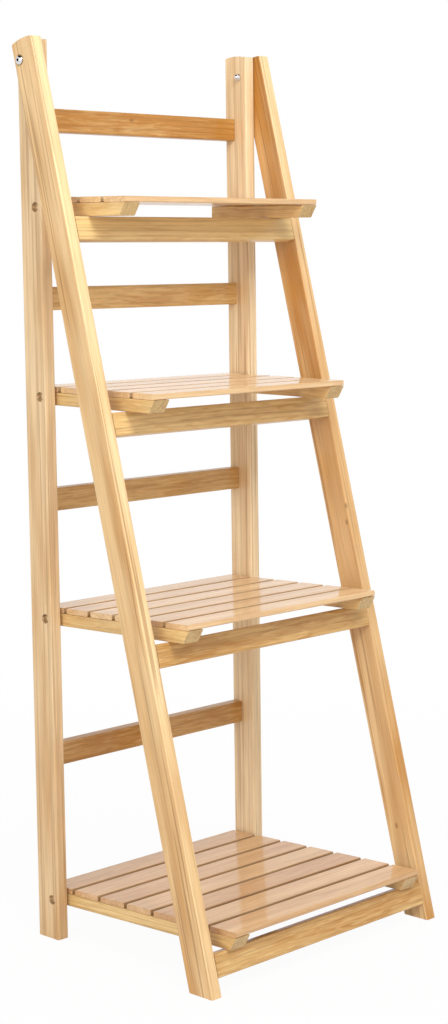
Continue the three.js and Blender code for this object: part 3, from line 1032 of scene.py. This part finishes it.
@dataclass
class RearFrame(RailedFrame):
    """Two posts, four back rails, the hinge bolts and the sunk pivot screws."""

    body: str = "rear_frame"
    inner_half: float = 161.6 * MM
    rail_thickness: float = 16 * MM
    rail_tones: tuple[float, ...] = (0.08, 0.55, 0.55, 0.35)
    rail_seed: int = 3
    upright_seed: int = 11
    rail_tops: tuple[float, ...] = (982.9 * MM, 777.4 * MM, 541 * MM, 233.6 * MM)
    rear_face: float = 157.46036 * MM
    # The right post's pale tones are partly painted light, standing in for more light on its inner
    # face.
    post_tones: tuple[tuple[float, ...], ...] = ((0.3, 0.7, 0.45, 0.75), (1.0, 0.6, 0.85, 1.0))
    fastener: HingeBolt = HingeBolt()
    bolt_seat: float = 192.5 * MM

    def build(self) -> None:
        """Builds every piece of the rear frame."""
        for i, side in enumerate(SIDES):
            seed, tones = self.upright_seed + i, self.post_tones[i]
            self.board(f"post_{side}", f"rear_post_{side}", Run.UPRIGHT, Finish.FRAME, seed, tones)
        y = self.rear_face - self.rail_thickness / 2
        self.grow_rails("back_rail", [(0.0, y, top - RAIL_HEIGHT / 2) for top in self.rail_tops])
        for i, side in enumerate(SIDES):
            self.hang_bolt(side, 2 * i - 1)
        self.dress([f"hinge_washer_{side}" for side in SIDES], Finish.CHROME)
        screws = [f"pivot_screw_{i + 1}_{side}" for i in range(LEVELS) for side in SIDES]
        self.dress(screws, Finish.STEEL)

    def hang_bolt(self, side: str, sign: int) -> None:
        """Hangs a hinge's bolt in the leg and post, and its nut on the post's inner face.

        Args:
            side: "left" or "right".
            sign: -1 for the left hinge, 1 for the right one.
        """
        out = Matrix.Translation(HINGE) @ Matrix.Rotation(math.radians(90 * sign), 4, "Y")
        foot = self.inner_half
        mesh = self.fastener.bolt_mesh(f"bolt_{side}", foot, self.bolt_seat, out)
        self.show(f"bolt_{side}", mesh, Finish.CHROME, [f"hinge_bolt_{side}"])
        inward = out @ Matrix.Translation((0, 0, foot)) @ Matrix.Rotation(math.pi, 4, "X")
        mesh = self.fastener.nut_mesh(f"nut_{side}", inward)
        self.show(f"nut_{side}", mesh, Finish.CHROME, [f"hinge_nut_{side}"])


@dataclass
class Ladder(RailedFrame):
    """Two leaning legs and the four rails that carry the shelves."""

    body: str = "ladder"
    lean: float = math.radians(14.2)
    inner_half: float = 178 * MM
    rail_thickness: float = 14.6 * MM
    # Partly painted light: the top rail is palest, standing in for light under shelf 1, and the
    # third is darker, standing in for the shadow of shelf 3.
    rail_tones: tuple[float, ...] = (1.05, 0.75, 0.4, 0.45)
    rail_seed: int = 7
    upright_seed: int = 21
    rail_front: float = -25.8 * MM  # in the ladder's own frame
    # Partly painted light: the narrow front faces darken towards the floor, standing in for the
    # front light fading downward, and the right leg's sides darken towards the top as painted
    # shade.
    leg_tones: tuple[tuple[float, ...], ...] = ((0.5, 0.6, 0.75, 1.05), (0.72, 0.02, 0.25, 0.8))

    def place(self) -> Matrix:
        """Places the ladder's frame.

        Returns:
            The bolts' axis, leaned forward.
        """
        return Matrix.Translation(HINGE) @ Matrix.Rotation(-self.lean, 4, "X")

    def build(self) -> None:
        """Builds every piece of the ladder."""
        for i, side in enumerate(SIDES):
            seed, tones = self.upright_seed + i, self.leg_tones[i]
            self.board(f"leg_{side}", f"front_leg_{side}", Run.UPRIGHT, Finish.LEG, seed, tones)
        inside = self.place().inverted()
        points = []
        for i in range(LEVELS):
            low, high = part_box(f"ladder_rail_{i + 1}")
            centre = inside @ ((low + high) / 2)
            points.append((0.0, self.rail_front + self.rail_thickness / 2, centre.z))
        self.grow_rails("ladder_rail", points)


@dataclass
class Shelf(Assembly):
    """One flap: a row of slats on two side rails that turn on the posts' screws."""

    slats: GeometryNodeTree = None
    number: int = 1
    pivot: float = 0.0
    depth: float = 0.0
    count: int = 4
    droop: float = 0.0  # degrees
    pivot_y: float = 131.76036 * MM
    rear: float = 25.7 * MM
    half_width: float = 157.9 * MM
    slat_bottom: float = 4.6 * MM
    slat_thickness: float = 6.6 * MM
    slat_gap: float = 5 * MM
    side_seed: int = 30
    slat_seed: int = 40
    tone_seed: int = 60
    side_tones: tuple[float, float] = (0.85, 0.85)
    slat_tone: float = 0.8
    tone_spread: float = 0.18
    front_edge: float = 0.2  # how much of the painted gap shade the front edge gets; the edges in the gaps get all of it

    def place(self) -> Matrix:
        """Places the shelf's frame.

        Returns:
            Its pivot axis, turned until the shelf rests.
        """
        turn = Matrix.Rotation(math.radians(self.droop), 4, "X")
        return Matrix.Translation((0, self.pivot_y, self.pivot)) @ turn

    def build(self) -> None:
        """Builds the side rails and the row of slats."""
        k = self.number
        for i, side in enumerate(SIDES):
            name, node = f"shelf_{k}_side_{side}", f"shelf_{k}_rail_{side}"
            seed = self.side_seed + 2 * k + i
            self.board(name, node, Run.FORWARD, Finish.RAIL, seed, self.side_tones)
        width = (self.depth - (self.count - 1) * self.slat_gap) / self.count
        sizes = {
            "Slat Count": self.count,
            "Slat Length": 2 * self.half_width,
            "Slat Width": width,
            "Slat Thickness": self.slat_thickness,
            "Slat Gap": self.slat_gap,
            "Seed": self.slat_seed + k,
            "Finish": self.paints.get(Finish.SLAT),
        }
        mesh = grow(f"shelf_{k}_slats", [(0.0, 0.0, 0.0)], self.slats, sizes)
        self.tone_slats(mesh, width)
        up = self.slat_bottom + self.slat_thickness / 2
        mesh.transform(self.place() @ Matrix.Translation((0, self.rear, up)))
        eased_normals(mesh)
        nodes = [f"shelf_{k}_slat_{i + 1}" for i in range(self.count)]
        self.show(f"shelf_{k}_slats", mesh, Finish.SLAT, nodes)

    def tone_slats(self, mesh: Mesh, width: float) -> None:
        """Gives each slat its own tone, and spares the row's front edge most of the painted shade
        of the gaps.

        Args:
            mesh: The row of slats, with its rear edge at y 0.
            width: One slat's width.
        """
        # The edge mark carries the painted gap shade; the lit front edge keeps little of it.
        edge = mesh.attributes["edge"].data
        for face in mesh.polygons:
            if face.center.y < width / 2 - self.depth:
                edge[face.index].value *= self.front_edge
        board = mesh.attributes["board"].data
        pick = random.Random(self.tone_seed + self.number)
        pitch = width + self.slat_gap
        for i in range(self.count):
            tone = self.slat_tone + pick.uniform(-self.tone_spread, self.tone_spread)
            rear = self.slat_gap / 2 - i * pitch
            for spot in mesh.vertices:
                if rear - pitch < spot.co.y <= rear:
                    board[spot.index].value = tone


# -------------------- studio


@dataclass(frozen=True)
class Lamp:
    """A soft square lamp, aimed at a point."""

    name: str
    spot: tuple[float, float, float]
    aim: tuple[float, float, float]
    size: float
    power: float
    colour: str = "#ffffff"

    def build(self) -> None:
        """Hangs the lamp."""
        data = bpy.data.lights.new(self.name, "AREA")
        data.shape = "SQUARE"
        data.size = self.size
        data.energy = self.power
        data.color = linear(self.colour)[:3]
        lamp = bpy.data.objects.new(self.name, data)
        bpy.context.scene.collection.objects.link(lamp)
        lamp.location = self.spot
        way = Vector(self.aim) - Vector(self.spot)
        lamp.rotation_mode = "QUATERNION"
        lamp.rotation_quaternion = way.to_track_quat("-Z", "Y")


@dataclass
class Studio:
    """A plain white studio: camera, soft lamps, pale floor and surround."""

    eye: tuple[float, float, float] = (-1.689758, -1.674891, 0.800653)
    yaw: float = 45.104
    pitch: float = -6.982
    roll: float = -0.788
    lens: float = 71.0328
    floor_half: float = 8.0
    floor_white: float = 0.96  # near the stand, where the shadow shows
    shadow_reach: tuple[float, float] = (0.4, 1.6)  # metres from the stand
    surround: float = 0.63  # how strongly the surround lights the stand
    ceiling_edge: tuple[float, float] = (0.5, 0.65)  # heights of the direction of a mirrored ray
    ceiling_dark: float = 0.97
    lamps: tuple[Lamp, ...] = field(
        default_factory=lambda: (
            Lamp("key", (-0.5, -1.45, 2.15), (0.0, 0.0, 0.8), 1.0, 29.0),
            Lamp("fill", (-3.6, -1.2, 1.8), (0.0, 0.0, 0.6), 2.2, 50.0),
        )
    )

    def build(self) -> None:
        """Sets up the whole studio."""
        self.set_camera()
        self.lay_floor()
        self.light_surround()
        for lamp in self.lamps:
            lamp.build()
        bpy.context.scene.view_settings.view_transform = "Standard"
        LOG.info("studio: camera, floor and %d lamps", len(self.lamps))

    def set_camera(self) -> None:
        """Puts the camera where the photograph was taken."""
        yaw, pitch, roll = (math.radians(a) for a in (self.yaw, self.pitch, self.roll))
        ahead = Vector(
            (math.sin(yaw) * math.cos(pitch), math.cos(yaw) * math.cos(pitch), math.sin(pitch))
        )
        level = Vector((math.cos(yaw), -math.sin(yaw), 0))
        up = level.cross(ahead)
        right = math.cos(roll) * level + math.sin(roll) * up
        above = -math.sin(roll) * level + math.cos(roll) * up
        data = bpy.data.cameras.new("camera")
        data.sensor_fit = "AUTO"
        data.sensor_width = 36.0
        data.lens = self.lens
        data.clip_start, data.clip_end = 0.05, 100.0
        camera = bpy.data.objects.new("camera", data)
        bpy.context.scene.collection.objects.link(camera)
        turn = Matrix((right, above, -ahead)).transposed().to_4x4()
        camera.matrix_world = Matrix.Translation(self.eye) @ turn
        bpy.context.scene.camera = camera

    def seen(self, tree: NodeTree, path: bpy_prop_collection) -> Node:
        """Tells the rays that see the surround, straight or mirrored, from those that light it.

        Args:
            tree: The floor's or the world's tree.
            path: The outputs of its Light Path node.

        Returns:
            1 for a ray that sees.
        """
        seen = path["Is Camera Ray"]
        for other in ("Is Glossy Ray", "Is Transmission Ray"):
            seen = add(tree, MATH, (seen, path[other]), operation="MAXIMUM")
        return seen

    def lay_floor(self) -> None:
        """Lays a pale floor that keeps the stand's shadow and is white to the camera."""
        h = self.floor_half
        mesh = bpy.data.meshes.new("floor")
        mesh.from_pydata([(-h, -h, 0), (h, -h, 0), (h, h, 0), (-h, h, 0)], [], [(0, 1, 2, 3)])
        material = bpy.data.materials.new("pale_studio_floor")
        material.use_nodes = True
        tree = material.node_tree
        tree.nodes.clear()
        path = add(tree, "ShaderNodeLightPath").outputs
        seen = self.seen(tree, path)
        place = add(tree, "ShaderNodeTexCoord").outputs["Object"]
        far = add(tree, VECTORS, (place,), operation="LENGTH").outputs["Value"]
        share = add(tree, RANGE, (far, *self.shadow_reach, self.floor_white, 1.0))
        white = add(tree, MATH, (seen, share), operation="MULTIPLY")
        matt = add(tree, "ShaderNodeBsdfDiffuse", {"Color": linear("#e8e8e6")})
        glow = add(tree, "ShaderNodeEmission", {"Color": (1, 1, 1, 1), "Strength": 1.0})
        mixed = add(tree, "ShaderNodeMixShader", (white, matt, glow))
        add(tree, "ShaderNodeOutputMaterial", (mixed,))
        mesh.materials.append(material)
        floor = bpy.data.objects.new("floor", mesh)
        bpy.context.scene.collection.objects.link(floor)

    def light_surround(self) -> None:
        """Makes the surround white to the camera and a level fill for everything else."""
        world = bpy.data.worlds.new("surround")
        world.use_nodes = True
        tree = world.node_tree
        tree.nodes.clear()
        path = add(tree, "ShaderNodeLightPath").outputs
        seen = self.seen(tree, path)
        strength = add(tree, RANGE, (seen, 0.0, 1.0, self.surround, 1.0))
        # Polished metal mirrors a dark ceiling above the white surround
        way = add(tree, "ShaderNodeTexCoord").outputs["Generated"]
        height = add(tree, "ShaderNodeSeparateXYZ", (way,)).outputs[2]
        room = add(tree, RANGE, (height, *self.ceiling_edge, 0.0, self.ceiling_dark))
        room = add(tree, MATH, (room, path["Is Glossy Ray"]), operation="MULTIPLY")
        kept = add(tree, MATH, (1.0, room), operation="SUBTRACT")
        strength = add(tree, MATH, (strength, kept), operation="MULTIPLY")
        back = add(tree, "ShaderNodeBackground", {"Color": (1, 1, 1, 1), "Strength": strength})
        add(tree, "ShaderNodeOutputWorld", (back,))
        bpy.context.scene.world = world


# -------------------- the stand


SHELVES = (
    # number, pivot height, depth, slats, droop, how pale
    (1, 869.2, 157.5, 4, 1.03, 0.85),
    (2, 650.9, 200.0, 5, 1.03, 0.85),
    (3, 389.5, 248.5, 6, -1.06, 0.7),
    (4, 48.0, 315.5, 7, -1.84, 0.3),
)


def main() -> None:
    """Builds the studio and every sub-assembly in order."""
    logging.basicConfig(level=logging.INFO, format="%(message)s")
    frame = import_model()
    nodes = frame["nodes"]
    paints = Paints()
    Studio().build()
    bar = eased_bar_tree()
    rails = crossrail_tree(bar)
    slats = slat_row_tree(bar)
    RearFrame(paints, nodes, rails=rails).build()
    Ladder(paints, nodes, rails=rails).build()
    for number, pivot, depth, count, droop, tone in SHELVES:
        Shelf(
            paints,
            nodes,
            f"shelf_{number}",
            slats=slats,
            number=number,
            pivot=pivot * MM,
            depth=depth * MM,
            count=count,
            droop=droop,
            slat_tone=tone,
        ).build()


if __name__ == "__main__":
    main()
